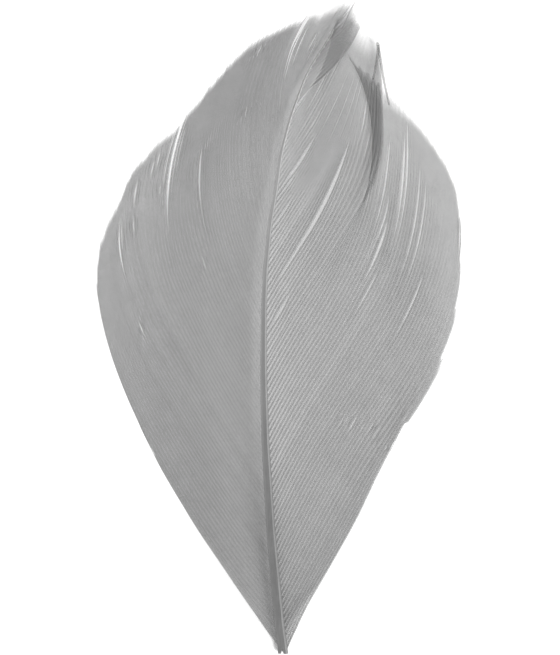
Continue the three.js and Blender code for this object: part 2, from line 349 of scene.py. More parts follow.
# %% The slits of each lobe
SLITS = {
    "left_vane_outer": [
        (28.95, 0.64, 1.02, 0.14), (28, 0.74, 1.05, 0.09), (17, 0.74, 0.9, 0.14),
        (18, 0.78, 0.88, 0.08), (21.2, 0.78, 0.83, 0.09), (21.4, 0.86, 0.93, 0.12),
        (25, 0.88, 0.95, 0.11), (24, 0.88, 0.94, 0.12), (16.3, 0.6, 0.63, 0.12),
        (27, 0.8, 0.84, 0.08),
    ],
    "left_vane_upper": [
        (29.5, 0.64, 1.02, 0.15), (30.6, 0.72, 1.0, 0.1), (31.5, 0.76, 0.95, 0.08),
        (38.4, 0.55, 0.74, 0.2), (38.4, 0.45, 0.62, 0.04), (35.6, 0.4, 0.425, 0.12),
        (52.4, 0.61, 0.645, 0.14), (51.5, 0.9, 0.94, 0.15), (50.5, 0.96, 1.2, 0.15),
    ],
    "left_vane_tip": [
        (60, 0.6, 0.93, 0.14), (62, 0.64, 0.9, 0.15), (67, 0.64, 0.82, 0.14),
        (69.6, 0.52, 0.74, 0.12),
    ],
    "right_vane_outer": [
        (30.2, 0.56, 0.88, 0.15), (25, 0.6, 0.93, 0.17), (27, 0.5, 0.68, 0.3),
        (27.9, 0.6, 0.74, 0.16), (26, 0.42, 0.56, 0.14), (23.3, 0.6, 0.97, 0.13),
        (20.2, 0.55, 0.9, 0.1), (18, 0.58, 0.88, 0.09), (15.2, 0.5, 0.7, 0.09),
        (33.5, 0.55, 0.75, 0.07), (6.9, 0.9, 0.97, 0.12),
        # the rest are specks along an old fold across the vane
        (12.4, 0.334, 0.36, 0.26), (14.9, 0.295, 0.317, 0.13), (10, 0.372, 0.392, 0.1),
        (8.2, 0.41, 0.428, 0.12), (6.8, 0.434, 0.452, 0.1), (3.8, 0.65, 0.67, 0.13),
        (2.3, 0.9, 0.93, 0.12),
    ],
    "right_vane_middle": [
        (45.9, 0.03, 0.62, 0.4), (43.2, 0.66, 0.8, 0.12), (62, 0.15, 0.5, 0.07),
        (66.3, 0.25, 0.62, 0.09), (64.5, 0.1, 0.5, 0.06), (41.2, 0.02, 0.13, 0.24),
        (41.9, 0.6, 0.72, 0.08), (55.3, 0, 0.16, 0.12), (64.3, 0.5, 0.85, 0.06),
        (58.5, 0.35, 0.75, 0.05), (54.2, 0.45, 0.8, 0.05), (51, 0.55, 0.85, 0.04),
        (48.3, 0.6, 0.9, 0.04), (59.2, 0.01, 0.36, 0.27), (58.3, 0.02, 0.17, 0.1),
    ],
}

# %% How a slit opens
SLIT_SPREAD = 3  # barbs over which the push of a long slit dies away
SHORT_SPREAD = 1.2  # and of one too short to bend many barbs
SHORT_SLIT = 0.1  # share of the barb
WIDEST_LATE = 1.4  # above 1, a slit is widest past its middle
BLUNT_ENDS = 0.8  # below 1, its ends are blunter than a sine's

def slit_width(first, last, width):
    """Widest past its middle, because the outer part of a barb bends more easily."""
    stage = np.clip((STATIONS - first) / (last - first), 0, 1) ** WIDEST_LATE
    return width * np.clip(np.sin(np.pi * stage), 0, 1) ** BLUNT_ENDS

def barb_before(lobe, root):
    """Index of the last barb below a place on the shaft; -1 if the place is below the lobe."""
    return int(np.searchsorted(ROWS[lobe][:, 0], root)) - 1

def opened(lobe, lines, towards_next):
    """The barbs on both sides of each slit move half its width away from it."""
    for root, first, last, width in SLITS.get(lobe, []):
        spread = SLIT_SPREAD if last - first > SHORT_SLIT else SHORT_SPREAD
        rank = np.arange(len(lines)) - barb_before(lobe, root) - 0.5
        push = 0.5 * np.sign(rank) * np.exp(-(np.abs(rank) - 0.5) / spread)
        lines = lines + towards_next * (push[:, None] * slit_width(first, last, width))[..., None]
    return lines

# %% [markdown]
# ## What stands beside each barb
#
# Barbules reach half way to the next barb and hook in there. So before a barb gets its webs, the
# way to its neighbours is measured at every point. Beyond a neighbour's tip there is nothing to
# hook into, and the web on that side is as wide as the one on the other side.

# %% Measure the neighbours
NEXT_LOBE = {  # lobes whose first barb stands beside the last barb of this one
    "left_vane_outer": "left_vane_upper", "left_vane_upper": "left_vane_tip",
    "right_vane_outer": "right_vane_middle", "right_vane_middle": "right_vane_tip",
}
CLOSE_BY = 0.55  # mm: the lobes hook into each other where they are this close
FIRST_WEB = ((0, 3), (0.1, 1))  # a vane's first web: mm from the quill, share of its full width

def walked_along(lines):
    return np.insert(np.linalg.norm(np.diff(lines, axis=1), axis=2).cumsum(1), 0, 0, 1)

def meet(sideways, along, lines, barb, other):
    """Where the next lobe is close by, a web only reaches half way to it."""
    gap, _ = nearest(lines[barb], along[barb], other, np.zeros(len(other)))
    size = size_of(gap)
    near = (size < CLOSE_BY) & (size < size_of(sideways[barb]))
    sideways[barb] = np.where(near, unit(sideways[barb]) * size, sideways[barb])

def neighbours(lobe, all_lines):
    """The direction of each barb, and what stands before and after it."""
    lines = all_lines[lobe]
    along = unit(np.gradient(lines, axis=1))
    walked = walked_along(lines)
    to_tip = walked[:, -1:] - walked
    before, after = np.zeros_like(lines), np.zeros_like(lines)
    tip_before, tip_after = np.zeros_like(to_tip), np.zeros_like(to_tip)
    for this in range(len(lines) - 1):
        later = this + 1
        after[this], tip_after[this] = nearest(lines[this], along[this], lines[later], to_tip[later])
        before[later], tip_before[later] = nearest(lines[later], along[later], lines[this], to_tip[this])
    before[0], tip_before[0] = -after[0], to_tip[0]
    if lobe.endswith("outer"):  # nothing stands below it, so this web is the margin
        before[0] *= np.interp(walked[0], *FIRST_WEB)[:, None]
    after[-1], tip_after[-1] = -before[-1], to_tip[-1]
    none_before, none_after = (tip_before == 0)[..., None], (tip_after == 0)[..., None]
    before, after = np.where(none_before, -after, before), np.where(none_after, -before, after)
    for this, following in NEXT_LOBE.items():
        if following == lobe:
            meet(before, along, lines, 0, all_lines[this][-1])
        if this == lobe:
            meet(after, along, lines, -1, all_lines[following][0])
    return along, before, after, tip_before, tip_after

# %% [markdown]
# ## One barb as a solid
#
# A barb is a stiff little rib, the ramus, with a web of barbules to each side. The webs slope
# down from the ramus and meet the next barb's webs in a furrow, so the vane is finely corded.
# That cording is what catches the light. Each barb is one closed band of twelve points round:
# crest, keel, and webs that thin to a knife edge. The webs overlap a little at the furrow.
#
# It could be one rippled sheet, but then a slit would need cutting, and the margin would be a
# torn line. With a band for each barb, both come out of the way the barbs lie.

# %% Sizes of a barb's section
RAMUS_HALF_WIDTH = 0.055  # mm
RAMUS_RISE = 0.03  # crest above the webs
KEEL_DEPTH = 0.06  # keel below them
RAMUS_LIMIT = 0.4  # no wider than this share of the narrower web
THINS_OVER = 25  # mm over which a ramus gets thinner towards its tip
THIN_END = 0.4  # share of its size that is left there
POINT_LENGTH = 0.6  # mm over which the whole barb narrows to its tip
POINT_SIZE = 0.03  # share of its width at the very end
POINT_ROUNDNESS = 0.6  # below 1, the point is round
WEB_HALF_THICKNESS = 0.008
WEB_REACH = 0.6  # the longest a barbule gets, from the ramus
WEB_OVERLAP = 1.15  # how far a web reaches, in half gaps
SHINGLE = 0.012  # how far the web's tipward edge lies over the next web

# %% How deeply the vane is corded
CORD_PLACES = (0, 0.4, 0.7, 1)  # shares of a barb
CORD_SLOPE = {  # slope of the webs there
    -1: (0.2, 0.11, 0.05, 0.02),
    1: (0.6, 0.5, 0.26, 0.08),
}
BASE_CORD = ((0, 34), (0.72, 1))  # share of that slope, by mm along the feather
TIP_CORD = {-1: (46, 62, 0.35), 1: (36, 48, 1.7)}  # from and to mm along, and the share there
HIGHEST_CORD = 0.15  # mm from furrow to ramus, however wide the web

def cord_slopes(side, lines, widest):
    y = lines[..., 1]
    start, end, share = TIP_CORD[side]
    slope = np.interp(STATIONS, CORD_PLACES, CORD_SLOPE[side])
    slope = slope * np.interp(y, *BASE_CORD)
    slope = slope * (1 + (share - 1) * rise(y, start, end))
    return np.minimum(slope, HIGHEST_CORD / widest)

# %% Section points along each barb
# How much of the ramus there is at each of the twelve points, from seam to seam and back below.
RAMUS_SHARE = (0, 0, 0.9, 1, 0.9, 0, 0, 0, 0.9, 1, 0.9, 0)
RAMUS_FADES = (1, 0.2)  # and how much of that at the root and at the tip

def half_section(reach, rib, slope, web, shingle):
    """Distance out and height of a web's points: seam, middle and rib on top, then below."""
    level = lambda far: slope * (0.5 * reach - far)
    middle = 0.5 * (reach + rib)
    seam = (reach, level(reach) + shingle)
    over = [(middle, level(middle) + web), (rib, level(rib) + 1.5 * web)]
    under = [(middle, level(middle) - web), (rib, level(rib) - 1.5 * web)]
    return seam, over, under

def band_rings(lines, along, before, after, side):
    """Twelve points round each point of each line, and the numbers that the material reads."""
    up = unit(np.cross(along, unit(after)))
    up *= np.sign(up[..., 2:])
    walked = walked_along(lines)
    to_tip = walked[:, -1:] - walked
    narrow = np.clip(to_tip / POINT_LENGTH, POINT_SIZE, 1) ** POINT_ROUNDNESS
    taper = (THIN_END + (1 - THIN_END) * np.clip(to_tip / THINS_OVER, 0, 1)) * narrow
    reach = lambda v: np.minimum(0.5 * WEB_OVERLAP * np.linalg.norm(v, axis=2), WEB_REACH) * narrow
    left, right = reach(before), reach(after)
    rib = np.minimum(RAMUS_HALF_WIDTH * taper, RAMUS_LIMIT * np.minimum(left, right))
    web = WEB_HALF_THICKNESS * narrow
    slope = cord_slopes(side, lines, np.maximum(left, right))
    seam_l, over_l, under_l = half_section(left, rib, slope, web, -SHINGLE * narrow)
    seam_r, over_r, under_r = half_section(right, rib, slope, web, SHINGLE * narrow)
    middle = 0.25 * slope * (left + right)
    crest = (0 * rib, middle + RAMUS_RISE * taper)
    keel = (0 * rib, middle - KEEL_DEPTH * taper)
    to_left, to_right = (unit(before), -1, left), (unit(after), 1, right)
    section = [(*to_left, *p) for p in (seam_l, *over_l)]
    section += [(*to_right, *p) for p in (crest, *reversed(over_r), seam_r, *under_r, keel)]
    section += [(*to_left, *p) for p in reversed(under_l)]
    ring = np.stack([lines + way * far[..., None] + up * high[..., None]
                     for way, _, _, far, high in section], 2)
    out = np.stack([sign * far for _, sign, _, far, _ in section], 2)
    across = np.stack([sign * far / width for _, sign, width, far, _ in section], 2)
    fading = np.interp(STATIONS, (0, 1), RAMUS_FADES)[:, None]
    ramus = np.broadcast_to(RAMUS_SHARE, across.shape) * fading
    return ring, {"out": out, "across": across, "ramus": ramus}, walked, to_tip

# %% From rings of points to a mesh
def ring_faces(barbs, steps, sides):
    """Quads round each band and a cap at each end, for rings in barb, step, side order."""
    b, s, k = np.meshgrid(np.arange(barbs), np.arange(steps), np.arange(sides), indexing="ij")
    at = lambda step, side: (b * (steps + 1) + step) * sides + side % sides
    quads = np.stack([at(s, k), at(s, k + 1), at(s + 1, k + 1), at(s + 1, k)], -1).reshape(-1, 4)
    caps = []
    for barb in range(barbs):
        first = barb * (steps + 1) * sides
        caps.append([first + side for side in reversed(range(sides))])
        caps.append([first + steps * sides + side for side in range(sides)])
    return quads.tolist() + caps

SHARP_EDGE = np.radians(75)  # a fold sharper than this isn't smoothed over

def new_object(name, data):
    thing = bpy.data.objects.new(name, data)
    bpy.context.scene.collection.objects.link(thing)
    return thing

def new_mesh(name, points, faces):
    mesh = bpy.data.meshes.new(name)
    mesh.from_pydata(((points.reshape(-1, 3) + SHIFT) * MM).tolist(), [], faces)
    return mesh

def add_mesh(name, points, faces, attributes):
    mesh = new_mesh(name, points, faces)
    for label, values in attributes.items():
        layer = mesh.attributes.new(label, "FLOAT", "POINT")
        layer.data.foreach_set("value", np.ascontiguousarray(values, np.float32).ravel())
    mesh.shade_smooth()
    mesh.set_sharp_from_angle(angle=SHARP_EDGE)
    piece = new_object(name, mesh)
    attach(piece, "root")
    print(name, "has", len(mesh.polygons), "faces")
    return piece

# %% [markdown]
# ## How closed and how pale the web is
#
# At its outer end a barb's barbules get short and stop hooking, so the vane thins out to nothing
# over the last millimetre or so. The vane is also densest near the quill and loosest at its
# sides. A number at each point says how closed the web is, and the material turns it into how
# much light goes through. A second number says how pale the barb is: each one differs a little,
# painted light makes the barbs paler near the shaft, most of all near its tip, and painted shade
# darkens them where they leave the shaft.

# %% How closed the web is
USUAL_THINNING = 1.7  # mm over which the web opens towards a barb's tip
THINNING = {"right_vane_middle": 4.0, "right_vane_tip": 1.8}
OUTER_THINNING = ((2.5, 4.5, 22, 34), (2.7, 1.7, 1.7, 3.2))  # in right_vane_outer, by its root
OPEN_END = 0.1  # how closed it still is at the very tip
DENSITY = {  # how closed the web is, by mm along the feather
    "left_vane_outer": ((12, 1.0), (26, 0.96), (40, 0.95), (60, 0.88)),
    "left_vane_upper": ((35, 0.94), (60, 0.9), (68, 0.98), (80, 1.08)),
    "left_vane_tip": ((60, 0.92), (80, 0.92)),
    "right_vane_outer": ((2, 1.15), (9, 1.0), (26, 0.93), (42, 0.86), (66, 0.84)),
    "right_vane_middle": ((38, 0.88), (66, 0.84)),
    "right_vane_tip": ((70, 0.9), (80, 0.9)),
}
LOOSE_SIDES = {-1: 0.03, 1: 0.14}  # lost from that at the outer ends
LOOSE_PART = (0.6, 0.9)  # shares of the barb over which that sets in
LOOSE_FROM = (25, 45)  # and mm along the feather
SEALED = 0.28  # how much more closed the first barbs are, as a share
SEALED_ROOTS = (0.8, 2.4)  # mm: the roots over which that fades
SEALED_UNTIL = {-1: (1.5, 7.5), 1: (7, 12)}  # and the mm along the feather

def closedness(lobe, lines, to_tip, tip_before, tip_after, across):
    """A web is as closed as its own barb at the ramus, and as both on average half way between."""
    side, roots, y = side_of(lobe), ROWS[lobe][:, :1], lines[..., 1]
    reach = THINNING.get(lobe, USUAL_THINNING)
    if lobe == "right_vane_outer":
        reach = np.interp(roots, *OUTER_THINNING)[..., None]
    other = np.where(across < 0, tip_before[..., None], tip_after[..., None])
    share = np.minimum(0.5 * WEB_OVERLAP * np.abs(across), 0.5)
    blended_tip = (1 - share) * to_tip[..., None] + share * other
    end = OPEN_END + (1 - OPEN_END) * smooth(blended_tip / reach)
    first = (1 - rise(roots, *SEALED_ROOTS)) * (1 - rise(y, *SEALED_UNTIL[side]))
    outer = rise(STATIONS, *LOOSE_PART) * rise(y, *LOOSE_FROM)
    density = np.interp(y, *np.transpose(DENSITY[lobe]))
    return end * ((1 + SEALED * first) * (1 - LOOSE_SIDES[side] * outer) * density)[..., None]

# %% How pale the barbs are, with painted light and shade
BARB_TONE = 0.05  # spread of the paleness from barb to barb, as a share
# Painted light: the barbs are painted paler beside the shaft, more so towards its tip, and most right
# beside the tip.
ROOT_PAINTED_LIGHT = {-1: (0.5, 10), 1: (0.85, 7)}  # how much paler at the root, and over how many mm
ROOT_PALE_FROM = (8, 32)  # mm along the feather over which that sets in
TIP_PALENESS = {-1: 1.7, 1: 1.1}  # how much stronger it is near the tip
TIP_PALE_FROM = (50, 66)
# Painted light beside the shaft's tip.
TIP_PAINTED_LIGHT = {-1: (0.3, 3), 1: (0.2, 1)}  # paler still beside the shaft's tip, and within how many mm
GLOW_FROM = (58, 66)
BASE_TONE = {-1: -0.15, 1: -0.03}  # darker below the middle of the feather
BASE_UNTIL = (24, 44)
BASE_OUT = (4, 18)  # mm out along the barb over which that sets in
# Painted shade where the barbs leave the shaft, over the middle of the feather.
ROOT_PAINTED_SHADE = {-1: 0.3, 1: 0.12}  # darker beside the shaft
SHADE_WIDTH = (0.5, 2.5)  # mm out along the barb over which that fades
SHADE_FROM = (12, 20)
SHADE_UNTIL = (29, 41)

# A barb's tone: its own small difference, painted light and shade near the shaft, and darker below the
# middle.
def paleness(lobe, lines, walked):
    side, y = side_of(lobe), lines[..., 1]
    own = BARB_TONE * rng.normal(0, 1, len(lines))[:, None]
    strength, reach = ROOT_PAINTED_LIGHT[side]
    # Painted light, paler beside the shaft and towards its tip.
    root = strength * np.exp(-walked / reach) * rise(y, *ROOT_PALE_FROM)
    root *= np.interp(y, TIP_PALE_FROM, (1, TIP_PALENESS[side]))
    # More painted light right beside the shaft's tip.
    glow, near = TIP_PAINTED_LIGHT[side]
    off = np.abs(lines[..., 0] - shaft_across(y))
    root += glow * np.exp(-off / near) * rise(y, *GLOW_FROM)
    # Painted shade where the barbs leave the shaft.
    shaded = rise(y, *SHADE_FROM) * (1 - rise(y, *SHADE_UNTIL))
    shade = -ROOT_PAINTED_SHADE[side] * (1 - rise(walked, *SHADE_WIDTH)) * shaded
    base = (1 - rise(y, *BASE_UNTIL)) * rise(walked, *BASE_OUT)
    return own + root + shade + BASE_TONE[side] * base

# %% Make the six lobes
vanes = []
lobe_lines = {}
for lobe, rest in rest_lines.items():
    along, before, after, tip_before, tip_after = neighbours(lobe, rest_lines)
    lines = opened(lobe, rest, unit(after))
    ring, numbers, walked, to_tip = band_rings(lines, along, before, after, side_of(lobe))
    barbs, rings, sides = ring.shape[:3]
    spread = lambda v: np.broadcast_to(v[..., None], ring.shape[:3])
    numbers["along"] = spread(walked - BURIED)
    # Each barb's own paleness, with the painted light and shade beside the shaft.
    numbers["tone"] = spread(paleness(lobe, lines, walked - BURIED))
    numbers["closed"] = closedness(lobe, lines, to_tip, tip_before, tip_after, numbers["across"])
    piece = add_mesh(lobe + "_barbs", ring, ring_faces(barbs, rings - 1, sides), numbers)
    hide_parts(lobe)
    vanes.append(piece)
    lobe_lines[lobe] = lines, along, before, after, to_tip

# %% [markdown]
# ## Loose barbules
#
# At the margin and along a slit the barbules have nothing to hook into, and they stand out as a
# fine fringe that points forward. Each is a closed spike of four triangles. Hair particles would
# be easier to place, but they aren't a mesh, and a mesh is wanted in every view and export.

# %% Spikes from base points
BARBULE_ANGLE = np.radians(38)  # between a barbule and its ramus
BARBULE_HALF_WIDTH = 0.014  # mm, at the base

def spikes(base, forward, outward, length):
    """Four corners for each spike."""
    up = unit(np.cross(forward, outward))
    heading = unit(forward * np.cos(BARBULE_ANGLE) + outward * np.sin(BARBULE_ANGLE))
    beside = unit(np.cross(heading, up))
    foot = [(0.9, -0.5), (-0.9, -0.5), (0, 1)]
    corners = [base + BARBULE_HALF_WIDTH * (a * beside + b * up) for a, b in foot]
    corners.append(base + heading * length[:, None])
    return np.stack(corners, 1)

def spike_faces(count):
    faces = np.array([(0, 2, 1), (0, 1, 3), (1, 2, 3), (2, 0, 3)])
    return (np.arange(count)[:, None, None] * 4 + faces).reshape(-1, 3).tolist()

def along_barb(lobe, barb, spots, forwards):
    """Points on a barb at the given distances from its tip, with its directions there."""
    lines, along, before, after, to_tip = lobe_lines[lobe]
    pick = lambda v: np.stack([np.interp(spots, to_tip[barb, ::-1], v[barb, ::-1, k])
                               for k in range(3)], -1)
    sideways = pick(after if forwards else before)
    return pick(lines), unit(pick(along)), unit(sideways), np.linalg.norm(sideways, axis=1)

# %% The fringe of the margin
MARGIN_FRINGE = 1.2  # mm from the tip over which loose barbules stand out
MARGIN_PITCH = 0.16
MARGIN_BARBULE = 0.24
SHORTEST = 0.35  # share of that length at the very tip
FULL_LENGTH_FROM = 0.8  # mm from the tip
LENGTH_SPREAD = (0.55, 1.1)
FRINGE_CLOSED = 0.35  # a loose barbule hides less than a hooked one
BARE_LOBE = "right_vane_middle"  # its tips have lost nearly all of theirs
BARE_PITCH = 4  # times further apart there

fringe = []
for lobe, rows in ROWS.items():
    for barb in range(len(rows)):
        for forwards in (False, True):
            pitch = MARGIN_PITCH * (BARE_PITCH if lobe == BARE_LOBE else 1)
            spots = np.arange(0.05, MARGIN_FRINGE, pitch)
            spots = spots + rng.uniform(-0.5, 0.5, len(spots)) * MARGIN_PITCH
            base, ahead, outward, _ = along_barb(lobe, barb, spots, forwards)
            grown = SHORTEST + (1 - SHORTEST) * rise(spots, 0, FULL_LENGTH_FROM)
            length = MARGIN_BARBULE * grown * rng.uniform(*LENGTH_SPREAD, len(spots))
            fringe.append(spikes(base, ahead, outward, length))
fringe = np.concatenate(fringe)

def add_strands(name, points, faces, ramus, tone, closed):
    flat = np.zeros(points.shape[:-1])
    numbers = {label: flat for label in ("across", "out", "along")}
    numbers.update(ramus=flat + ramus, tone=flat + tone, closed=flat + closed)
    piece = add_mesh(name, points, faces, numbers)
    vanes.append(piece)

def add_barbules(name, corners, closed):
    tone = BARB_TONE * rng.normal(0, 1, (len(corners), 1))
    add_strands(name, corners, spike_faces(len(corners)), 0, tone, closed)

add_barbules("margin_barbules", fringe, FRINGE_CLOSED)

# %% Barbules in the slits
SLIT_PITCH = 0.14
SLIT_CLOSED = 0.8
SLIT_LENGTHS = (0.7, 1.0)  # shares of the way to the furrow
BRIDGING = 0.3  # share of a slit's barbules that still reach over it
BRIDGE_LENGTHS = (0.6, 1.5)  # shares of the slit's width that those are longer

bridges = []
for lobe, slits in SLITS.items():
    for root, first, last, width in slits:
        barb = barb_before(lobe, root)
        if not 0 <= barb < len(ROWS[lobe]) - 1:
            continue
        to_tip = lobe_lines[lobe][4][barb]
        whole = to_tip[1]
        spots = np.arange(1 - min(last, 1), 1 - first, SLIT_PITCH / whole) * whole
        opening = np.interp(spots, to_tip[::-1], slit_width(first, last, width)[::-1])
        for edge, forwards in ((barb, True), (barb + 1, False)):
            base, ahead, outward, gap = along_barb(lobe, edge, spots, forwards)
            reach = 0.5 * WEB_OVERLAP * np.minimum(gap, 2 * WEB_REACH)
            length = reach / np.sin(BARBULE_ANGLE) * rng.uniform(*SLIT_LENGTHS, len(spots))
            longer = opening * rng.uniform(*BRIDGE_LENGTHS, len(spots))
            length += longer * (rng.uniform(size=len(spots)) < BRIDGING)
            bridges.append(spikes(base, ahead, outward, length))
add_barbules("slit_barbules", np.concatenate(bridges), SLIT_CLOSED)

# %% [markdown]
# ## Stray barbs
#
# A few barbs near the tip have lost their webs and stand alone, thin as a hair. Each is a short
# list of points, across and along, with a height, eased into a curve and lofted as a fine rod.

# %% Stray barbs
STRAYS = [  # half its width in mm, and its points
    (0.24, [(12.8, 79.65, 0.9), (12.93, 78.73, 0.9), (12.67, 76.77, 0.9), (12.27, 74.82, 0.7)]),
    (0.2, [(12.9, 79.3, 0.9), (13.25, 77.17, 0.8), (13.65, 74.82, 0.7), (14.05, 72.86, 0.6),
           (14.36, 71.5, 0.4)]),
    (0.08, [(9.92, 84.98, 0.3), (9.27, 83.8, 0.35), (8.8, 82.7, 0.4), (8.2, 81.4, 0.5)]),
]
STRAY_TAPER = ((0, 0.15, 1), (0.4, 1, 0.5))  # shares of its length, and of its width there
STRAY_CLOSED = 0.8
STRAY_STEPS = 24
STRAY_SIDES = 6

def stray_rings(half_width, points):
    points = np.array(points, float)
    line = blended(points, np.linspace(0, len(points) - 1, STRAY_STEPS + 1))
    heading = unit(np.gradient(line, axis=0))
    beside = unit(np.cross(heading, (0, 0, 1)))
    above = np.cross(beside, heading)
    thick = half_width * np.interp(np.linspace(0, 1, len(line)), *STRAY_TAPER)
    turns = np.arange(STRAY_SIDES) / STRAY_SIDES * 2 * np.pi
    return (line[:, None] + (thick[:, None] * np.cos(turns))[..., None] * beside[:, None]
            + (thick[:, None] * np.sin(turns))[..., None] * above[:, None])

rings = np.stack([stray_rings(*stray) for stray in STRAYS])
faces = ring_faces(len(STRAYS), STRAY_STEPS, STRAY_SIDES)
add_strands("stray_barbs", rings, faces, 1, 0, STRAY_CLOSED)

# %% [markdown]
# ## The shaft
#
# Horn, darker than the barbs. Its upper side is a ridge with its crest right of the middle. The
# wide left flank lies in shade and the narrow right one catches the light, and more of that shade
# and light is painted into the horn's colour. Below there is a shallow groove, as on every body
# feather. A loft of sections is the plain way, because the shaft only tapers and bends.

# %% Loft the shaft
SHAFT_STEPS = 170
HORN_LENGTH = 81.4  # it runs on between the last barbs, past the CAD shaft's end
# by mm along: the crest's height over the barbs in mm, and half widths that it lies to the right
CREST_HEIGHT = ((0, 0.28), (12, 0.28), (20, 0.25), (30, 0.18), (45, 0.12), (79, 0.09))
CREST_PLACE = ((0, 0.5), (20, 0.48), (34, 0.36), (60, 0.28), (79, 0))
# shares of the flank's width and of the crest's height, then half widths for the belly
LEFT_FLANK = [(-1.1, 0), (-0.95, 0.2), (-0.62, 0.5), (-0.25, 0.82), (-0.06, 0.97)]
RIGHT_FLANK = [(0.07, 0.96), (0.25, 0.84), (0.6, 0.5), (0.85, 0.2), (1, -0.1)]
BELLY = [(0.92, -0.4), (0.66, -0.85), (0.28, -0.92), (0, -0.74), (-0.28, -0.92), (-0.66, -0.85),
         (-1, -0.4)]

s = np.linspace(0, 1, SHAFT_STEPS + 1) * HORN_LENGTH
half = shaft_half_width(s)
crest = np.interp(s, *np.transpose(CREST_HEIGHT))
top = np.interp(s, *np.transpose(CREST_PLACE))
section = [(top + a * (1 + top), b * crest) for a, b in LEFT_FLANK]
section += [(top, crest)]
section += [(top + a * (1 - top), b * crest) for a, b in RIGHT_FLANK]
section += [(a + 0 * s, b * half) for a, b in BELLY]
ring = np.stack([np.stack([shaft_across(s) + far * half, s, shaft_height(s) + high], -1)
                 for far, high in section], 1)[None]

# %% How pale the horn is, with painted shade and light on its flanks
# Painted shading of the left flank: paler at its foot by the barbs, and painted shade darkening it up to
# the crest.
LEFT_PAINTED_SHADING = (1.5, 0.7, -0.3, -0.4, -0.5)  # from the barbs up to the crest
LEFT_PAINTED_SHADING_AT_TIP = (1.6, 1.3, 0.7, 0, -0.4)
TIP_TONES_FROM = (46, 58)  # mm along over which those take over
LEFT_STRENGTH = ((0, 20, 32), (0.3, 0.5, 1))  # mm along, and how much of them there is
# Painted shading of the right flank: a little paler where it is lit, and painted shade in the groove
# where it meets the barbs.
RIGHT_PAINTED_SHADING = (0, 0.2, 0.2, 0, -0.2, -0.4)  # the crest, and down to the barbs
BELLY_TONE = -0.5
PALER_TIP = ((8, 25, 45, 60, 70), (0, 0.3, 1.2, 2.4, 4))  # mm along, and how much is added

tipness = np.interp(s, TIP_TONES_FROM, (0, 1))[:, None]
left_painted_shading = (1 - tipness) * LEFT_PAINTED_SHADING + tipness * LEFT_PAINTED_SHADING_AT_TIP
left_painted_shading *= np.interp(s, *LEFT_STRENGTH)[:, None]
other_tones = np.tile((*RIGHT_PAINTED_SHADING, *[BELLY_TONE] * len(BELLY)), (len(s), 1))
# The painted shade and light of the flanks, and a tip that is paler all round.
tones = np.concatenate([left_painted_shading, other_tones], 1) + np.interp(s, *PALER_TIP)[:, None]
shaft = add_mesh("shaft_horn", ring, ring_faces(1, SHAFT_STEPS, len(section)), {"tone": tones})
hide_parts("shaft")

# %% [markdown]
# ## The cut end
#
# The quill was trimmed with a blade and split as it parted, so its end is two little prongs with
# a wedge between them. The wedge is a closed prism taken out of the shaft by a boolean.

# %% The split in the cut end
NOTCH_OFFSET = -0.18  # mm from the shaft's middle
NOTCH_CORNERS = [(-0.221, -0.2), (0.221, -0.2), (0.05, 0.68)]  # mm across from there, and along
NOTCH_HEIGHTS = (-1.0, 3.0)  # mm, clear of the shaft below and above

middle = shaft_across(0.0) + NOTCH_OFFSET
points = np.array([(middle + x, y, z) for z in NOTCH_HEIGHTS for x, y in NOTCH_CORNERS])
faces = [(0, 2, 1), (3, 4, 5), (0, 1, 4, 3), (1, 2, 5, 4), (2, 0, 3, 5)]
wedge = new_object("notch", new_mesh("notch", points, faces))
cut = shaft.modifiers.new("notch", "BOOLEAN")
cut.operation = "DIFFERENCE"
cut.object = wedge
bpy.context.view_layer.objects.active = shaft
bpy.ops.object.modifier_apply(modifier=cut.name)
bpy.data.objects.remove(wedge)
print("shaft after the cut:", len(shaft.data.polygons), "faces")

# %% [markdown]
# ## Materials from nodes
#
# Small helpers keep the node graphs readable: for arithmetic, for the numbers that the meshes
# carry, for noise measured in millimetres, and for what the vane and the horn have in common.

# %% Node helpers
def new_material(name):
    material = bpy.data.materials.new(name)
    material.use_nodes = True
    material.node_tree.nodes.clear()
    return material, material.node_tree

def plug(tree, value, socket):
    if isinstance(value, bpy.types.NodeSocket):
        tree.links.new(value, socket)
    else:
        socket.default_value = value

def maths(tree, operation, *values):
    step = tree.nodes.new("ShaderNodeMath")
    step.operation = operation
    for value, socket in zip(values, step.inputs):
        plug(tree, value, socket)
    return step.outputs[0]

def ramp(tree, value, start, end, low, high):
    """Straight from low at start to high at end, and level beyond."""
    step = tree.nodes.new("ShaderNodeMapRange")
    plug(tree, value, step.inputs["Value"])
    for name, number in zip(("From Min", "From Max", "To Min", "To Max"), (start, end, low, high)):
        plug(tree, number, step.inputs[name])
    return step.outputs[0]

def carried(tree, label):
    step = tree.nodes.new("ShaderNodeAttribute")
    step.attribute_name = label
    return step.outputs["Fac"]

def place(tree, stretch=(1, 1, 1)):
    """Where a point is, in millimetres, stretched if wanted."""
    where = tree.nodes.new("ShaderNodeTexCoord")
    scaled = tree.nodes.new("ShaderNodeVectorMath")
    scaled.operation = "MULTIPLY"
    tree.links.new(where.outputs["Object"], scaled.inputs[0])
    scaled.inputs[1].default_value = [1 / MM * v for v in stretch]
    return scaled.outputs[0]

def noise(tree, per_mm, detail, where):
    step = tree.nodes.new("ShaderNodeTexNoise")
    plug(tree, where, step.inputs["Vector"])
    step.inputs["Scale"].default_value = per_mm
    step.inputs["Detail"].default_value = detail
    return step.outputs["Fac"]

# %% Nodes for both materials
def grey_between(tree, share, dark, pale):
    step = tree.nodes.new("ShaderNodeMix")
    step.data_type = "RGBA"
    plug(tree, share, step.inputs["Factor"])
    step.inputs["A"].default_value = (dark, dark, dark, 1)
    step.inputs["B"].default_value = (pale, pale, pale, 1)
    return step.outputs["Result"]

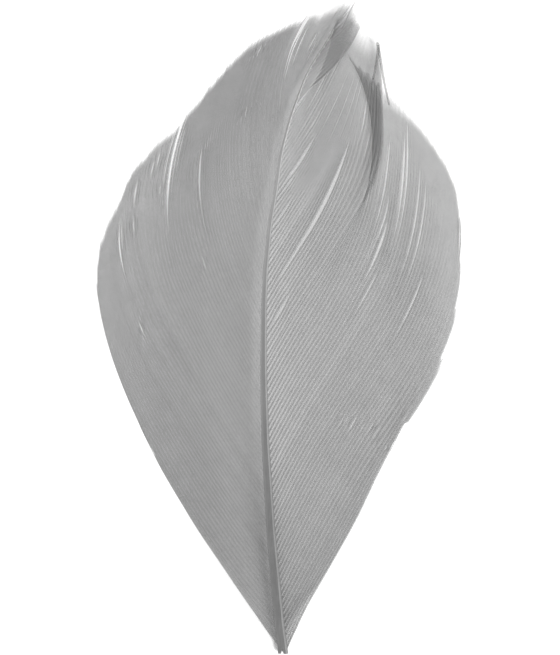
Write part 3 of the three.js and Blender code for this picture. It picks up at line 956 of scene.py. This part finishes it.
def keratin(tree, colour, roughness, specular, height, strength, depth):
    """A surface with bumps; the depth is in mm."""
    bump = tree.nodes.new("ShaderNodeBump")
    bump.inputs["Strength"].default_value = strength
    bump.inputs["Distance"].default_value = depth * MM
    plug(tree, height, bump.inputs["Height"])
    surface = tree.nodes.new("ShaderNodeBsdfPrincipled")
    surface.inputs["Specular IOR Level"].default_value = specular
    plug(tree, roughness, surface.inputs["Roughness"])
    plug(tree, colour, surface.inputs["Base Color"])
    plug(tree, bump.outputs[0], surface.inputs["Normal"])
    return surface.outputs[0]

def output(tree, shader):
    plug(tree, shader, tree.nodes.new("ShaderNodeOutputMaterial").inputs[0])

# %% [markdown]
# ## The vane's grey
#
# Horn again, but so thin that light goes through it: one layer over white looks pale, two look
# darker. So each surface mixes a dull grey with a Transparent shader. The mix is the web's
# closedness, more on the ramus, and it fades out where two webs overlap, so their sum stays
# even. Barbules are too fine to model in the closed web. They are slanted lines of bump, drawn
# from how far a point is along its barb and out from the ramus.

# %% Vane material
WEB_OPACITY = 0.40  # of each of a web's two surfaces
RAMUS_OPACITY = 0.46
VANE_GREY = 0.19  # what the vane sends back where its tone is 0
TONE_GAIN = 0.5  # share of the pale grey that a tone of 1 adds
BARBULE_PITCH = 0.07  # mm
BARBULE_SLANT = 1.3  # mm forward along the barb for each mm out
vane_grey, tree = new_material("vane_grey")
where = place(tree)
out = maths(tree, "ABSOLUTE", carried(tree, "out"))
across = maths(tree, "ABSOLUTE", carried(tree, "across"))

opacity = ramp(tree, carried(tree, "ramus"), 0, 1, WEB_OPACITY, RAMUS_OPACITY)
for share in (
    ramp(tree, across, 2 / WEB_OVERLAP - 1, 1, 1, 0),
    carried(tree, "closed"),
    ramp(tree, noise(tree, 0.35, 3, where), 0.3, 0.7, 0.97, 1.03),
    ramp(tree, noise(tree, 5, 1, where), 0.3, 0.7, 0.96, 1.04),
):
    opacity = maths(tree, "MULTIPLY", opacity, share)

mottle = ramp(tree, noise(tree, 0.8, 4, where), 0.2, 0.8, 0.46, 0.54)
# The tone brings in each barb's own paleness and the painted light and shade beside the shaft.
shade = maths(tree, "MULTIPLY_ADD", carried(tree, "tone"), TONE_GAIN, mottle)
slant = maths(tree, "MULTIPLY_ADD", out, -BARBULE_SLANT, carried(tree, "along"))
barbules = maths(tree, "SINE", maths(tree, "MULTIPLY", slant, 2 * np.pi / BARBULE_PITCH))
surface = keratin(tree, grey_between(tree, shade, 0, 2 * VANE_GREY), 0.62, 0.3, barbules, 0.18, 0.006)

mix = tree.nodes.new("ShaderNodeMixShader")
plug(tree, opacity, mix.inputs[0])
plug(tree, tree.nodes.new("ShaderNodeBsdfTransparent").outputs[0], mix.inputs[1])
plug(tree, surface, mix.inputs[2])
output(tree, mix.outputs[0])
for piece in vanes:
    piece.data.materials.append(vane_grey)

# %% [markdown]
# ## Horn
#
# The shaft is keratin like a fingernail: smooth, darker than the vane, with long faint streaks
# that run with it. Noise stretched twenty to one along the shaft gives the streaks, in the
# colour and a little in the bump, and a coarser noise varies how glossy it is.

# %% Shaft material
HORN_DARK, HORN_PALE = 0.11, 0.5
HORN_TONE_GAIN = 0.16
horn, tree = new_material("horn")
streaks = noise(tree, 5, 4, place(tree, (1, 0.05, 1)))
patches = noise(tree, 0.5, 3, place(tree))
mixed = maths(tree, "MULTIPLY_ADD", streaks, 0.7, maths(tree, "MULTIPLY", patches, 0.3))
mixed = ramp(tree, mixed, 0.3, 0.7, 0.05, 0.17)
# The tone brings in the painted shade and light of the flanks.
mixed = maths(tree, "MULTIPLY_ADD", carried(tree, "tone"), HORN_TONE_GAIN, mixed)
colour = grey_between(tree, mixed, HORN_DARK, HORN_PALE)
roughness = ramp(tree, patches, 0.3, 0.7, 0.38, 0.55)
output(tree, keratin(tree, colour, roughness, 0.4, streaks, 0.3, 0.02))
shaft.data.materials.append(horn)

# %% [markdown]
# ## Floor, light and camera
#
# A pale floor lit so brightly that it reads as plain white, a soft key from the lower right that
# rakes the cording of the right vane and runs nearly along the barbs of the left, and a wide
# fill from above. The camera looks straight down.

# %% Floor
bpy.ops.mesh.primitive_plane_add(size=4)
floor = bpy.context.object
floor.name = "floor"
PAPER_GREY = 0.95
paper, tree = new_material("paper")
matt = tree.nodes.new("ShaderNodeBsdfDiffuse")
matt.inputs["Color"].default_value = (PAPER_GREY, PAPER_GREY, PAPER_GREY, 1)
output(tree, matt.outputs[0])
floor.data.materials.append(paper)

# %% Lights
LAMPS = {  # where it is seen, m away, m across, and its level
    "key": ((0.5904, -0.5658, 0.57), 1.5, 0.9, 0.95),
    "fill": ((-0.15, 0.25, 1), 1.6, 1.4, 0.40),
}
SKY_LEVEL = 0.23  # a level is what a white card would send back

# Disk lamps, strong enough to give their level on a card that lies flat.
for name, (direction, metres, size, level) in LAMPS.items():
    towards = unit(np.array(direction))
    data = bpy.data.lights.new(name, "AREA")
    data.shape = "DISK"
    data.size = size
    data.energy = level * np.pi ** 2 * metres ** 2 / towards[2]
    lamp = new_object(name, data)
    lamp.location = towards * metres
    lamp.rotation_mode = "QUATERNION"
    lamp.rotation_quaternion = Vector(towards).to_track_quat("Z", "Y")

world = bpy.data.worlds.new("studio")
world.use_nodes = True
world.node_tree.nodes["Background"].inputs["Color"].default_value = (1, 1, 1, 1)
world.node_tree.nodes["Background"].inputs["Strength"].default_value = SKY_LEVEL
bpy.context.scene.world = world
bpy.context.scene.view_settings.view_transform = "Standard"

# %% Camera
MM_PER_PIXEL = 85 / 651
IMAGE_WIDTH, IMAGE_HEIGHT = 560, 655
FRAME_ORIGIN_X, FRAME_ORIGIN_Y = 279, 653  # pixel of the millimetre frame's zero
camera = bpy.data.cameras.new("camera")
camera.lens = 135
distance = IMAGE_HEIGHT * MM_PER_PIXEL * MM * camera.lens / camera.sensor_width
eye = new_object("camera", camera)
across_image = (IMAGE_WIDTH / 2 - FRAME_ORIGIN_X) * MM_PER_PIXEL
up_image = (FRAME_ORIGIN_Y - IMAGE_HEIGHT / 2) * MM_PER_PIXEL
eye.location = ((across_image + SHIFT[0]) * MM, (up_image + SHIFT[1]) * MM, distance)
bpy.context.scene.camera = eye
